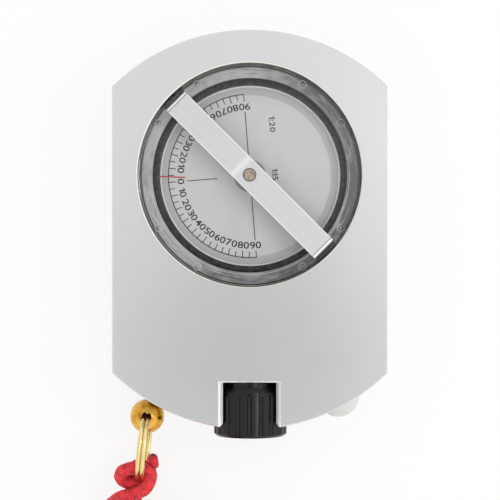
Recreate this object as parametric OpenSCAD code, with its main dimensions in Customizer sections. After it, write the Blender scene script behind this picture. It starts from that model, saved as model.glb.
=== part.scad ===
// Optical pocket clinometer. A weighted dial turns in a sealed clear capsule that sits in an
// aluminium block. Its rim scale is read through a focusing eyepiece at the lower end.
// Millimetres. X runs across the block, Y along it towards the plain end, and Z out of the dial
// side. The origin is on the flat back face, straight behind the dial's axis.

/* [Block] */
// Width across the two flat sides
body_w = 52; // [49:0.5:58]
// Thickness from the back face to the dial side
body_d = 15.5; // [15.2:0.1:18]
// Radius of the two rounded ends
end_r = 37; // [33:0.5:42]
// From the dial's axis to the plain end
top_reach = 27.4; // [26:0.2:32]
// From the dial's axis to the eyepiece end
bottom_reach = 48.05; // [46:0.25:54]
// Bevel along the outer edges
edge_bevel = 0.25; // [0.1:0.05:0.5]
// Wall left behind the capsule
back_wall = 1.6; // [1.2:0.1:2]

/* [Capsule] */
// Depth of the capsule's rim below the dial side
recess = 2.2; // [1.9:0.1:2.6]
// Thickness of the clear cover at its rim
cover_t = 1.5; // [1.3:0.1:1.8]
// How far the window lies below the cover's rim
window_drop = 0.3; // [0.1:0.1:0.5]
// Width of the cover's raised rim
cover_rim_w = 2.25; // [2:0.05:2.8]
// Floor of the clear case
case_floor = 1.2; // [1:0.1:1.5]
// Wall of the clear case
case_wall = 3.08; // [2.9:0.02:3.6]
// Pad between the case and the block
pad_t = 0.4; // [0.3:0.1:0.6]
// Width of the dark sealing ring
seal_w = 1.3; // [1.2:0.1:1.6]
// Height of the dark sealing ring
seal_h = 1.1; // [0.8:0.1:1.4]
// Moulding dimples round the cover's rim, in pairs
dimples = 8; // [4:2:12]
// Radius of a dimple
dimple_r = 0.55; // [0.3:0.05:0.7]
// Width of the hairline plate
hairline_w = 5; // [4:0.5:6]
// Height of the hairline plate
hairline_h = 4; // [3.5:0.5:4]
// Thickness of the hairline plate
hairline_t = 0.8; // [0.5:0.1:1]

/* [Dial] */
// Radius of the dial
dial_r = 17.3; // [16:0.1:17.6]
// Thickness of the dial's face
dial_t = 0.4; // [0.3:0.1:0.6]
// Height of the rim that carries the edge scale
drum_h = 4.4; // [3.6:0.2:4.6]
// Thickness of that rim
drum_t = 0.4; // [0.3:0.05:0.6]
// Liquid gap round the dial
liquid_gap = 0.7; // [0.6:0.05:1.1]
// Radius of the hub's flange
hub_r = 3.1; // [2.6:0.1:3.6]
// Thickness of the hub's flange
hub_flange_t = 0.3; // [0.2:0.1:0.5]
// Radius of the hub's stem
hub_stem_r = 1.6; // [1.3:0.1:1.9]
// Half the angle that the balance weight covers
weight_half_angle = 48; // [35:1:60]
// Thickness of the balance weight
weight_t = 1.8; // [1.2:0.1:2]
// Width of the balance weight
weight_w = 5.5; // [4:0.5:7]
// How far the dial stands turned from its index
dial_turn = 4.5; // [-90:0.5:90]

/* [Bearing] */
// Radius of the pivot pin
pivot_r = 0.45; // [0.35:0.05:0.6]
// Length of each of its points
point_len = 0.5; // [0.4:0.05:0.6]
// Radius of a jewel
jewel_r = 0.95; // [0.85:0.05:1.05]
// Thickness of a jewel
jewel_t = 0.75; // [0.7:0.05:0.9]
// Radius of the fixed pin through the bar
post_r = 1.27; // [1.2:0.01:1.5]
// Radius of the seat that holds the rear jewel
seat_r = 1.7; // [1.5:0.1:2]

/* [Bar] */
// Length over the bent tips
bar_len = 40.7; // [40.2:0.1:41.4]
// Width of the bar
bar_w = 4.95; // [4:0.05:6]
// Sheet thickness of the bar
bar_t = 0.8; // [0.6:0.05:0.9]
// Depth of the bar's top below the dial side
bar_drop = 0.6; // [0.4:0.1:0.8]
// Outside radius of the bent tips
bar_bend_r = 1.15; // [1:0.05:1.3]
// Direction of the bar
bar_angle = -45; // [-90:5:90]

/* [Eyepiece] */
// Radius of the grip
grip_r = 7.05; // [6.7:0.05:7.2]
// Gap between the grip and its pocket
grip_gap = 0.2; // [0.15:0.05:0.3]
// Width of the notch that opens the pocket
notch_w = 10.1; // [9:0.1:11]
// Length of the notch from the eyepiece end
notch_len = 8.85; // [8:0.05:9.5]
// Bevel along the notch's sides
notch_bevel = 0.85; // [0.5:0.05:1]
// Cut across the notch's two outer corners
notch_corner = 0.7; // [0.4:0.1:1]
// Length of the neck that shows
neck_show = 1.15; // [1.1:0.05:1.6]
// Length of the smooth collar
collar_len = 1.45; // [1.2:0.05:2]
// Length of the fluted grip
flute_len = 7.6; // [7:0.1:9]
// Length of the plain lip past the flutes
lip_len = 0.5; // [0.4:0.1:1]
// Flutes round the grip
flutes = 20; // [14:1:24]
// Radius of a flute's hollow
flute_r = 0.45; // [0.35:0.05:0.5]
// Depth of a flute
flute_d = 0.3; // [0.2:0.05:0.4]
// Radius of the bore that guides the neck
guide_r = 5.6; // [5.5:0.05:5.8]
// Radius of the eyepiece's inner tube
tube_r = 4.8; // [4.7:0.05:4.9]
// Wall of that tube
tube_wall = 0.95; // [0.8:0.05:1.1]
// Length of the neck inside the block
neck_in = 3.6; // [3.4:0.1:4]
// Length of the inner tube
tube_len = 5.6; // [5:0.1:6]
// Length of the brass focus sleeve
sleeve_len = 6; // [5:0.1:6.5]
// Space left in front of the sleeve for focusing
sleeve_space = 1.2; // [1.1:0.1:1.6]
// Radius of the lens
lens_r = 4.55; // [4.2:0.05:4.7]
// Thickness of the lens at its edge
lens_edge = 0.9; // [0.7:0.1:1.2]
// Thickness of the lens at its middle
lens_mid = 1.8; // [1.6:0.1:2.2]
// Radius of the lens retainer's opening
retainer_bore_r = 3.6; // [3.2:0.1:3.9]
// Thickness of the lens retainer
retainer_t = 0.9; // [0.7:0.1:1.1]
// Radius of the field stop's opening
stop_r = 2; // [1.5:0.1:2.5]
// Thickness of the field stop
stop_t = 0.6; // [0.4:0.1:0.8]
// Section radius of the friction ring
friction_ring_r = 0.45; // [0.35:0.05:0.5]

/* [Lanyard eye] */
// From the block's side to the middle of the eye's screw
eye_inset = 7.78; // [7:0.02:10]
// Radius of the ball
ball_r = 3.3; // [3.1:0.1:3.6]
// From the end's surface to the middle of the ball
ball_stand = 3.53; // [3.5:0.01:4]
// Radius of the hole through the ball
ball_hole_r = 1.1; // [1.05:0.01:1.3]
// Radius of the collar behind the ball
eye_collar_r = 1.9; // [1.7:0.1:2.2]
// Radius of the screw's shank
shank_r = 1.5; // [1.2:0.1:1.6]
// Length of the screw's shank
shank_len = 5; // [3:0.5:6]
// Mean radius of the wire ring
ring_r = 6.25; // [6.2:0.05:6.4]
// Radius of the ring's wire
wire_r = 0.525; // [0.5:0.005:0.53]
// Lean of the hanging ring
ring_lean = 6; // [0:1:8]

/* [End plug] */
// From the block's side to the middle of the plug
plug_inset = 8.34; // [7.5:0.02:10]
// Radius of the plug's head
plug_r = 3.9; // [3.4:0.1:4.2]
// Height of the plug's domed head
plug_h = 2.6; // [2:0.1:3]
// Radius of the plug's stem
plug_stem_r = 2.4; // [2:0.1:2.8]
// Length of the plug's stem
plug_stem_len = 4; // [2.5:0.5:5]

/* [Lanyard] */
// Diameter of the cord
cord_d = 2.4; // [2:0.1:2.5]
// Turns of the coiled lanyard
coil_turns = 11; // [9:1:11]
// Outer radius of the coil, at the cord's middle
coil_r = 22.5; // [22.3:0.1:23]
// Gap between neighbouring turns
turn_gap = 0.5; // [0.42:0.02:0.6]
// Width of the tie round the coil
tie_w = 3; // [2:0.5:5]
// Thickness of the tie
tie_t = 0.5; // [0.4:0.1:0.6]

/* [Hidden] */
$fn = 64;
over = 0.5;
seat_gap = 0.02;
slide_gap = 0.05;
soft_gap = 0.3;

// Block and capsule levels
mid_z = body_d / 2;
half_w = body_w / 2;
top_c = top_reach - end_r;
bottom_c = end_r - bottom_reach;
split_y = (top_c + bottom_c) / 2;
chamber_r = dial_r + liquid_gap;
case_r = chamber_r + case_wall;
bore_r = case_r + slide_gap;
rim_z = body_d - recess;
cover_z = rim_z - cover_t;
case_z = back_wall + pad_t;
floor_z = case_z + case_floor;
seal_in_r = dial_r + 0.1;
seal_out_r = seal_in_r + seal_w;
window_r = case_r - cover_rim_w;
dimple_ring_r = case_r - cover_rim_w / 2;
dimple_half_angle = 15;
dimple_rise = dimple_r * 0.4;
pad_inset = 1.5;
pad_w = 6.5;
pad_r = case_r - pad_inset;
pad_bore_r = pad_r - pad_w;
cover_bevel = 0.2;
glue_gap = 0.02;
filler_r = 0.8;
filler_head_t = 0.25;
filler_at = [0, 8.5];

// Dial levels
drum_z = mid_z - drum_h / 2;
face_z = drum_z + drum_h;
flange_z = face_z + dial_t;
hub_top_z = flange_z + hub_flange_t;
stem_rise = 1.6;
stem_z = drum_z + stem_rise;
post_z = hub_top_z + 0.3;
boss_r = post_r + 1;
post_bevel = 0.12;
boss_z = post_z + 0.3;
cup_depth = 0.4;
point_gap = 0.02;
point_r = 0.06;
seat_h = drum_z - floor_z - 0.6;
jewel_top_z = floor_z + seat_h;
pin_low_z = jewel_top_z - cup_depth + point_gap;
pin_high_z = post_z + cup_depth - point_gap;

// Bar levels
bar_top_z = body_d - bar_drop;
bar_corner_r = 0.4;

// Eyepiece places, along Y
notch_y = -bottom_reach + notch_len;
neck_y = notch_y - neck_show;
collar_y = neck_y - collar_len;
flute_y = collar_y - flute_len;
grip_end_y = flute_y - lip_len;
neck_end_y = notch_y + neck_in;
tube_end_y = neck_end_y + tube_len;
sleeve_y = neck_end_y + sleeve_space;
pocket_r = grip_r + grip_gap;
neck_r = guide_r - 0.06;
tube_bore_r = tube_r - tube_wall;
retainer_r = lens_r + 0.5;
lens_y = grip_end_y + retainer_t;
ring_groove_y = notch_y + neck_in - 0.9;
ring_seat_r = guide_r - 0.04 - friction_ring_r;
groove_half = friction_ring_r + 0.05;
flute_margin = 0.25;

// Eye, plug and ring
eye_angle = asin((half_w - eye_inset) / end_r);
plug_angle = asin((half_w - plug_inset) / end_r);
eye_at = end_point(-eye_angle, ball_stand);
ring_out = [-sin(ring_lean), -cos(ring_lean), 0];
hole_half = sqrt(ball_r * ball_r - ball_hole_r * ball_hole_r);
wire_sag = ring_r - sqrt(ring_r * ring_r - hole_half * hole_half);
ring_mid = eye_at + (ring_r - wire_sag / 2) * ring_out;
ring_low = ring_mid + ring_r * ring_out;

// The lanyard's knot, from the ring's lowest wire: two turns round it. The tube runs through each
// point.
knot_route = [
    [-6.8, -6.2, -3.4], [-5.87, -5.31, -2.7], [-5.03, -4.52, -1.79], [-4.15, -3.85, -0.83],
    [-3.01, -3.43, -0.02], [-1.69, -3.14, 0.55], [-0.35, -2.72, 0.98], [0.86, -1.96, 1.24],
    [1.68, -0.76, 1.25], [1.77, 0.66, 1.14], [0.87, 1.74, 1.02], [-0.54, 2.05, 1],
    [-2, 1.98, 0.95], [-3.32, 1.5, 0.59], [-3.97, 0.51, -0.19], [-3.58, -0.59, -1.02],
    [-2.34, -1.23, -1.4], [-0.95, -1.58, -1.67], [0.48, -1.56, -1.89], [1.59, -0.71, -1.84],
    [1.8, 0.66, -1.68], [1.05, 1.82, -1.66], [-0.24, 2.25, -1.95], [-1.46, 1.85, -2.6],
    [-2.31, 0.94, -3.36], [-2.43, -0.38, -3.94], [-2.26, -1.82, -4.18], [-1.99, -3.26, -4.24],
    [-1.6, -4.66, -4.16], [-0.9, -5.9, -3.8]
];
// The cord's sealed end stands out of the knot.
stub_at = [2.45, 2.3, -0.35];
stub_len = 1.75;
stub_r = cord_d / 2 - 0.2;
stub_turn = [-62, 0, 3];
// The two free strands run from the knot to the coil along these points.
coil_mid = [-14, -92];
strand_in = [[-30.4, -68.8, 2.2], [-30.9, -71.8, 2.0], [-31.2, -74.6, 2.0]];
strand_out = [[-19.1, -67.5, 4.2], [-17.5, -68.3, 4.6]];

// The coil spirals in, climbs one cord at its middle and spirals out again.
coil_in_angle = 152;
coil_out_angle = 82;
turn_total = coil_turns - (coil_in_angle - coil_out_angle) / 360;
turn_pitch = cord_d + turn_gap;
rings_per_turn = 24;
coil_rings = round(turn_total * rings_per_turn);
coil_low_z = tie_t + soft_gap + cord_d / 2;
coil_path = [for (i = [0:coil_rings]) coil_point(turn_total * i / coil_rings)];
knot_at = [ring_low.x, ring_low.y, mid_z];
knot_tube = smooth([for (p = knot_route) p + knot_at], 3);
knot_first = knot_tube[0];
knot_last = knot_tube[len(knot_tube) - 1];
first_out = unit(knot_first - knot_tube[1]);
last_out = unit(knot_last - knot_tube[len(knot_tube) - 2]);
coil_back = unit(coil_path[0] - coil_path[1]);
coil_on = unit(coil_path[coil_rings] - coil_path[coil_rings - 1]);
coil_tube = concat([coil_path[0] + cord_d * coil_back], coil_path,
    [coil_path[coil_rings] + cord_d * coil_on]);
strand_in_tube = strand(knot_first, first_out, strand_in, coil_path[0] + cord_d * coil_back, coil_back);
strand_out_tube = strand(knot_last, last_out, strand_out, coil_path[coil_rings] + cord_d * coil_on,
    coil_on);

echo(coil_least_gap = least_gap(coil_tube, rings_per_turn / 2) - cord_d);
echo(knot_least_gap = least_gap(knot_tube, 8) - cord_d);
echo(cord_length = line_length(knot_tube) + line_length(coil_tube)
    + line_length(strand_in_tube) + line_length(strand_out_tube));

function unit(v) = v / norm(v);
function line_length(path) = len(path) < 2 ? 0
    : sum_of([for (i = [1:len(path) - 1]) norm(path[i] - path[i - 1])]);
function sum_of(list, i = 0) = i >= len(list) ? 0 : list[i] + sum_of(list, i + 1);

// A point off the eyepiece end's curve, at an angle from the block's axis.
function end_point(angle, out) =
    [(end_r + out) * sin(angle), bottom_c - (end_r + out) * cos(angle), mid_z];

// How far along the coil: radius falls to the middle and grows again, and the height steps once.
function coil_radius(turn) =
    let (away = turn - turn_total / 2, soft = 0.1)
    coil_r - turn_pitch * (turn_total / 2 - sqrt(away * away + soft * soft));
function coil_height(turn) =
    let (t = min(1, max(0, (turn - turn_total / 2) * 2 + 0.5)))
    coil_low_z + turn_pitch * t * t * (3 - 2 * t);
function coil_point(turn) =
    let (a = coil_in_angle + 360 * turn, r = coil_radius(turn))
    [coil_mid.x + r * cos(a), coil_mid.y + r * sin(a), coil_height(turn)];

// A free strand: straight for one diameter where it leaves the knot and where it meets the coil.
function strand(knot_end, knot_out, route, coil_end, coil_out) = concat(
    [knot_end],
    smooth(concat([knot_end + cord_d * knot_out], route, [coil_end + cord_d * coil_out]), 3),
    [coil_end]);

// A smooth line through a route's points, in so many steps from one to the next.
function smooth(route, steps) = [
    for (i = [0:len(route) - 2], s = [0:steps - 1]) curve_point(route, i, s / steps),
    route[len(route) - 1]
];
function curve_point(route, i, t) =
    let (
        b = route[i],
        c = route[i + 1],
        a = i > 0 ? route[i - 1] : 2 * b - c,
        d = i + 2 < len(route) ? route[i + 2] : 2 * c - b
    )
    0.5 * (2 * b + (c - a) * t + (2 * a - 5 * b + 4 * c - d) * t * t
        + (3 * b - a - 3 * c + d) * t * t * t);

function least_gap(path, apart) = min([
    for (i = [0:len(path) - 1 - apart], j = [i + apart:len(path) - 1]) norm(path[i] - path[j])
]);

// A round tube along a path. Its ends are square to the path.
module tube(path, diameter, sides) {
    last = len(path) - 1;
    points = [
        for (i = [0:last])
            let (
                along = unit(path[min(i + 1, last)] - path[max(i - 1, 0)]),
                side = unit(cross(along, [0, 0, 1])),
                up = cross(side, along)
            )
            for (k = [0:sides - 1])
                path[i] + diameter / 2 * (cos(360 * k / sides) * side + sin(360 * k / sides) * up)
    ];
    faces = concat(
        [[for (k = [sides - 1:-1:0]) k]],
        [for (i = [0:last - 1], k = [0:sides - 1])
            let (n = (k + 1) % sides) [i * sides + k, i * sides + n, (i + 1) * sides + k]],
        [for (i = [0:last - 1], k = [0:sides - 1])
            let (n = (k + 1) % sides)
            [i * sides + n, (i + 1) * sides + n, (i + 1) * sides + k]],
        [[for (k = [0:sides - 1]) last * sides + k]]
    );
    polyhedron(points, faces);
}

// A round bar or hole along Y, from one place to another, on the eyepiece's axis.
module along_y(from, to, r) {
    translate([0, from, mid_z]) rotate([-90, 0, 0]) cylinder(h = to - from, r = r);
}

// A profile of radius and distance along Y, turned about the eyepiece's axis.
module turned_y(profile) {
    translate([0, 0, mid_z]) rotate([-90, 0, 0]) rotate_extrude() polygon(profile);
}

// Places its children on the eyepiece end's curve, with Z pointing out of the block.
module on_end(angle) {
    translate(end_point(angle, 0)) rotate([90, 0, angle]) children();
}

// A disc with a bevel round both edges.
module bevelled_disc(r) {
    rotate_extrude() polygon([
        [0, 0], [r - edge_bevel, 0], [r, edge_bevel], [r, body_d - edge_bevel],
        [r - edge_bevel, body_d], [0, body_d]
    ]);
}

// One half of the block: flat sides and one rounded end.
module block_half(centre_y, from, to) {
    intersection() {
        translate([0, centre_y, 0]) bevelled_disc(end_r);
        translate([0, to, 0]) rotate([90, 0, 0]) linear_extrude(to - from) polygon([
            [-half_w + edge_bevel, 0], [half_w - edge_bevel, 0], [half_w, edge_bevel],
            [half_w, body_d - edge_bevel], [half_w - edge_bevel, body_d],
            [-half_w + edge_bevel, body_d], [-half_w, body_d - edge_bevel],
            [-half_w, edge_bevel]
        ]);
    }
}

// The notch through both faces, with its side bevels.
module notch() {
    low = -bottom_reach - over;
    wide = notch_w / 2 + notch_bevel;
    corner_y = bottom_c - sqrt(end_r * end_r - notch_w * notch_w / 4);
    translate([-notch_w / 2, low, -over]) cube([notch_w, notch_y - low, body_d + 2 * over]);
    translate([0, notch_y, 0]) rotate([90, 0, 0]) linear_extrude(notch_y - low) {
        polygon([[-wide, 0], [0, notch_bevel + notch_w / 2], [wide, 0]]);
        polygon([[-wide, body_d], [0, body_d - notch_bevel - notch_w / 2], [wide, body_d]]);
    }
    for (side = [-1, 1]) {
        translate([side * notch_w / 2, corner_y, -over]) rotate([0, 0, 45])
            cube([notch_corner * sqrt(2), notch_corner * sqrt(2), 2 * (body_d + 2 * over)], center = true);
    }
    for (z = [0, body_d]) {
        translate([0, notch_y, z]) rotate([45, 0, 0])
            cube([notch_w, edge_bevel * sqrt(2), edge_bevel * sqrt(2)], center = true);
    }
}

module housing() color("#D4D4D6") {
    difference() {
        union() {
            block_half(top_c, split_y, top_reach + over);
            block_half(bottom_c, -bottom_reach - over, split_y);
        }
        translate([0, 0, back_wall]) cylinder(h = body_d, r = bore_r);
        translate([0, 0, body_d - edge_bevel])
            cylinder(h = edge_bevel + 0.001, r1 = bore_r, r2 = bore_r + edge_bevel);
        along_y(notch_y - over, -bore_r / 2, guide_r);
        along_y(-bottom_reach - over, notch_y, pocket_r);
        notch();
        on_end(-eye_angle) {
            translate([0, 0, -shank_len - over]) cylinder(h = shank_len + 2 * over, r = shank_r);
            translate([0, 0, -seat_depth(eye_collar_r)])
                cylinder(h = over, r = eye_collar_r + seat_gap);
        }
        on_end(plug_angle) {
            translate([0, 0, -plug_stem_len - over])
                cylinder(h = plug_stem_len + 2 * over, r = plug_stem_r);
            translate([0, 0, -seat_depth(plug_r)]) cylinder(h = over, r = plug_r + seat_gap);
        }
    }
}

// How deep a flat seat of a given radius goes into the end's curve.
function seat_depth(r) = end_r - sqrt(end_r * end_r - r * r);

module capsule_pad() color("#3A3A3C") {
    translate([0, 0, back_wall]) difference() {
        cylinder(h = pad_t, r = pad_r);
        translate([0, 0, -over]) cylinder(h = pad_t + 2 * over, r = pad_bore_r);
    }
}

module capsule_case() color("#DCE4E6", 0.4) {
    difference() {
        rotate_extrude() polygon([
            [0, case_z], [case_r, case_z], [case_r, cover_z - glue_gap],
            [seal_out_r, cover_z - glue_gap], [seal_out_r, cover_z - seal_h],
            [chamber_r, cover_z - seal_h], [chamber_r, floor_z], [0, floor_z]
        ]);
        translate([
            -hairline_w / 2 - slide_gap, -chamber_r - hairline_t - slide_gap,
            mid_z - hairline_h / 2 - slide_gap
        ])
            cube([hairline_w + 2 * slide_gap, hairline_t + over, hairline_h + 2 * slide_gap]);
        filler_hole();
        translate([0, 0, floor_z - case_floor / 2]) cylinder(h = case_floor, r = seat_r + seat_gap);
    }
}

// The filling hole in the case's floor.
module filler_hole() {
    translate([filler_at.x, filler_at.y, case_z - over])
        cylinder(h = case_floor + 2 * over, r = filler_r);
}

module filler_plug() color("#8C9296") {
    translate([filler_at.x, filler_at.y, case_z]) {
        cylinder(h = case_floor, r = filler_r - seat_gap);
        translate([0, 0, -filler_head_t]) cylinder(h = filler_head_t, r = filler_r + 0.3);
    }
}

module capsule_seal() color("#4A4C4F") {
    rotate_extrude() translate([seal_in_r, cover_z - seal_h]) difference() {
        square([seal_w - seat_gap, seal_h]);
        translate([0, -0.01]) square([0.2, 0.3]);
    }
}

module capsule_cover() color("#E4EAEC", 0.35) {
    difference() {
        rotate_extrude() polygon([
            [post_r + seat_gap, boss_z], [boss_r, boss_z], [boss_r, cover_z], [case_r, cover_z],
            [case_r, rim_z - cover_bevel], [case_r - cover_bevel, rim_z], [window_r, rim_z],
            [window_r - window_drop, rim_z - window_drop], [post_r + seat_gap, rim_z - window_drop]
        ]);
        for (pair = [0.5:dimples / 2], side = [-1, 1]) {
            rotate([0, 0, 720 * pair / dimples + side * dimple_half_angle])
                translate([dimple_ring_r, 0, rim_z + dimple_rise]) sphere(r = dimple_r);
        }
    }
}

module hairline_plate() color("#E8F2F4", 0.5) {
    translate([-hairline_w / 2, -chamber_r - hairline_t, mid_z - hairline_h / 2])
        cube([hairline_w, hairline_t, hairline_h]);
}

module rear_jewel_seat() color("#B98C3A") {
    difference() {
        translate([0, 0, floor_z - case_floor / 2])
            cylinder(h = seat_h + case_floor / 2, r = seat_r);
        translate([0, 0, jewel_top_z - jewel_t]) cylinder(h = jewel_t + over, r = jewel_r + seat_gap);
    }
}

// A bearing jewel with its conical cup facing up.
module jewel() {
    difference() {
        cylinder(h = jewel_t, r = jewel_r);
        translate([0, 0, jewel_t - cup_depth])
            cylinder(h = cup_depth + 0.001, r1 = point_r + 0.04, r2 = pivot_r + 0.1);
    }
}

module rear_jewel() color("#B3203A") {
    translate([0, 0, jewel_top_z - jewel_t]) jewel();
}

module front_jewel() color("#B3203A") {
    translate([0, 0, post_z + jewel_t]) mirror([0, 0, 1]) jewel();
}

module bearing_post() color("#AA9B8C") {
    difference() {
        rotate_extrude() polygon([
            [0, post_z], [post_r, post_z], [post_r, bar_top_z - post_bevel],
            [post_r - post_bevel, bar_top_z], [0, bar_top_z]
        ]);
        translate([0, 0, post_z - over]) cylinder(h = jewel_t + over, r = jewel_r + seat_gap);
    }
}

// A bar bent from sheet: its two tips turn down onto the cover's rim.
module retaining_bar() color("#D8D8DA") {
    run = bar_len / 2 - bar_bend_r;
    rotate([0, 0, bar_angle]) difference() {
        intersection() {
            translate([0, bar_w / 2, 0]) rotate([90, 0, 0]) linear_extrude(bar_w) {
                translate([-run, bar_top_z - bar_t]) square([2 * run, bar_t]);
                for (m = [0, 1]) {
                    mirror([m, 0]) translate([run, bar_top_z - bar_bend_r]) {
                        difference() {
                            circle(r = bar_bend_r);
                            circle(r = bar_bend_r - bar_t);
                            translate([-2 * bar_bend_r, -2 * bar_bend_r])
                                square([2 * bar_bend_r, 4 * bar_bend_r]);
                            translate([-bar_bend_r, -2 * bar_bend_r])
                                square([3 * bar_bend_r, 2 * bar_bend_r]);
                        }
                        translate([bar_bend_r - bar_t, rim_z - bar_top_z + bar_bend_r])
                            square([bar_t, bar_top_z - rim_z - bar_bend_r]);
                    }
                }
            }
            linear_extrude(body_d) rounded_strip(bar_len, bar_w, bar_corner_r);
        }
        translate([0, 0, rim_z]) cylinder(h = body_d, r = post_r + seat_gap);
    }
}

module rounded_strip(length, width, r) {
    square([length - 2 * r, width], center = true);
    square([length, width - 2 * r], center = true);
    for (x = [-1, 1], y = [-1, 1]) {
        translate([x * (length / 2 - r), y * (width / 2 - r)]) circle(r = r);
    }
}

module dial_face() color("#CDCDCF") {
    translate([0, 0, face_z]) difference() {
        cylinder(h = dial_t, r = dial_r);
        translate([0, 0, -over]) cylinder(h = dial_t + 2 * over, r = hub_stem_r + seat_gap);
    }
}

module dial_drum() color("#DDDDDF") {
    translate([0, 0, drum_z]) difference() {
        cylinder(h = drum_h, r = dial_r);
        translate([0, 0, -over]) cylinder(h = drum_h + 2 * over, r = dial_r - drum_t);
    }
}

module dial_hub() color("#B4B4B8") {
    difference() {
        union() {
            translate([0, 0, flange_z]) cylinder(h = hub_flange_t, r = hub_r);
            translate([0, 0, stem_z]) cylinder(h = flange_z - stem_z, r = hub_stem_r);
        }
        translate([0, 0, stem_z - over]) cylinder(h = hub_top_z - stem_z + 2 * over, r = pivot_r + seat_gap);
    }
}

// A crescent under the dial, on the side of the scale's zero.
module balance_weight() color("#8A7A5A") {
    outer = dial_r - drum_t - 0.2;
    translate([0, 0, face_z - weight_t]) rotate([0, 0, 180 + dial_turn - weight_half_angle])
        rotate_extrude(angle = 2 * weight_half_angle)
            translate([outer - weight_w, 0]) square([weight_w, weight_t]);
}

module pivot_pin() color("#9A9CA0") {
    translate([0, 0, pin_low_z]) cylinder(h = point_len, r1 = point_r, r2 = pivot_r);
    translate([0, 0, pin_low_z + point_len])
        cylinder(h = pin_high_z - pin_low_z - 2 * point_len, r = pivot_r);
    translate([0, 0, pin_high_z - point_len]) cylinder(h = point_len, r1 = pivot_r, r2 = point_r);
}

module focus_sleeve() color("#B98C3A") {
    difference() {
        along_y(sleeve_y, sleeve_y + sleeve_len, guide_r - seat_gap);
        along_y(sleeve_y - over, sleeve_y + sleeve_len + over, tube_r + slide_gap);
    }
}

// The eyepiece in one turned piece: grip, collar, neck and inner tube, bored right through.
module eyepiece_barrel() color("#2B2B2D") {
    bevel = 0.45;
    difference() {
        turned_y([
            [tube_bore_r - 0.2, grip_end_y], [grip_r - bevel, grip_end_y],
            [grip_r, grip_end_y + bevel], [grip_r, collar_y], [grip_r - 0.15, collar_y],
            [grip_r - 0.15, neck_y - 0.9], [grip_r - 0.75, neck_y], [neck_r, neck_y],
            [neck_r, ring_groove_y - groove_half],
            [ring_seat_r - friction_ring_r - 0.04, ring_groove_y - groove_half],
            [ring_seat_r - friction_ring_r - 0.04, ring_groove_y + groove_half],
            [neck_r, ring_groove_y + groove_half], [neck_r, neck_end_y], [tube_r, neck_end_y],
            [tube_r, tube_end_y], [tube_bore_r - 0.2, tube_end_y]
        ]);
        along_y(grip_end_y - over, lens_y, retainer_r + seat_gap);
        along_y(grip_end_y, lens_y + lens_edge + 0.02, lens_r + slide_gap);
        along_y(tube_end_y - stop_t, tube_end_y + over, tube_bore_r);
        for (i = [0:flutes - 1]) {
            translate([0, flute_y, mid_z]) rotate([-90, 0, 0]) rotate([0, 0, 360 * i / flutes])
                translate([0, grip_r - flute_d + flute_r, 0])
                    cylinder(h = flute_len - flute_margin, r = flute_r);
        }
    }
}

// The stop sits in the tube's inner end and narrows the view.
module field_stop() color("#1C1C1E") {
    difference() {
        along_y(tube_end_y - stop_t, tube_end_y, tube_bore_r - seat_gap);
        along_y(tube_end_y - stop_t - over, tube_end_y + over, stop_r);
    }
}

// A lens with its flat side out and its curved side towards the dial.
module eyepiece_lens() color("#E6EEF0", 0.4) {
    bulge = lens_mid - lens_edge;
    curve_r = (lens_r * lens_r + bulge * bulge) / (2 * bulge);
    clear_r = tube_bore_r - 0.35;
    cap_h = curve_r - sqrt(curve_r * curve_r - clear_r * clear_r);
    along_y(lens_y, lens_y + lens_edge, lens_r);
    intersection() {
        translate([0, lens_y + lens_edge + cap_h - curve_r, mid_z]) sphere(r = curve_r);
        along_y(lens_y + lens_edge, lens_y + lens_edge + 2 * bulge, clear_r);
    }
}

module lens_retainer() color("#242426") {
    difference() {
        along_y(grip_end_y, lens_y, retainer_r);
        along_y(grip_end_y - over, lens_y + over, retainer_bore_r);
    }
}

module friction_ring() color("#18181A") {
    translate([0, ring_groove_y, mid_z]) rotate([-90, 0, 0])
        rotate_extrude() translate([ring_seat_r, 0]) circle(r = friction_ring_r);
}

// A ball with a cross hole, on a collar and a screwed shank.
module lanyard_eye() color("#D7C072") {
    difference() {
        union() {
            translate(eye_at) sphere(r = ball_r);
            on_end(-eye_angle) {
                translate([0, 0, -seat_depth(eye_collar_r)])
                    cylinder(h = ball_stand - ball_r + 1, r = eye_collar_r);
                translate([0, 0, -shank_len])
                    cylinder(h = shank_len, r = shank_r - seat_gap);
            }
        }
        translate([eye_at.x, eye_at.y, 0]) cylinder(h = body_d, r = ball_hole_r);
    }
}

module lanyard_ring() color("#EDD992") {
    translate(ring_mid) rotate([0, 0, -ring_lean]) rotate([0, 90, 0])
        rotate_extrude() translate([ring_r, 0]) circle(r = wire_r);
}

module end_plug() color("#E4E4E0") {
    foot = seat_depth(plug_r);
    rise = plug_h + foot;
    dome_r = (plug_r * plug_r + rise * rise) / (2 * rise);
    on_end(plug_angle) {
        intersection() {
            translate([0, 0, plug_h - dome_r]) sphere(r = dome_r);
            translate([0, 0, -foot]) cylinder(h = rise + over, r = plug_r);
        }
        translate([0, 0, -plug_stem_len]) cylinder(h = plug_stem_len, r = plug_stem_r - seat_gap);
    }
}

module lanyard_hitch() color("#D8283C") {
    tube(knot_tube, cord_d, 8);
    translate(knot_at + stub_at) rotate(stub_turn) {
        cylinder(h = stub_len, r = stub_r);
        translate([0, 0, stub_len]) sphere(r = stub_r);
    }
}

module lanyard_cord() color("#D8283C") {
    tube(strand_in_tube, cord_d, 8);
    tube(strand_out_tube, cord_d, 8);
}

module lanyard_coil() color("#D8283C") {
    tube(coil_tube, cord_d, 6);
}

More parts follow.
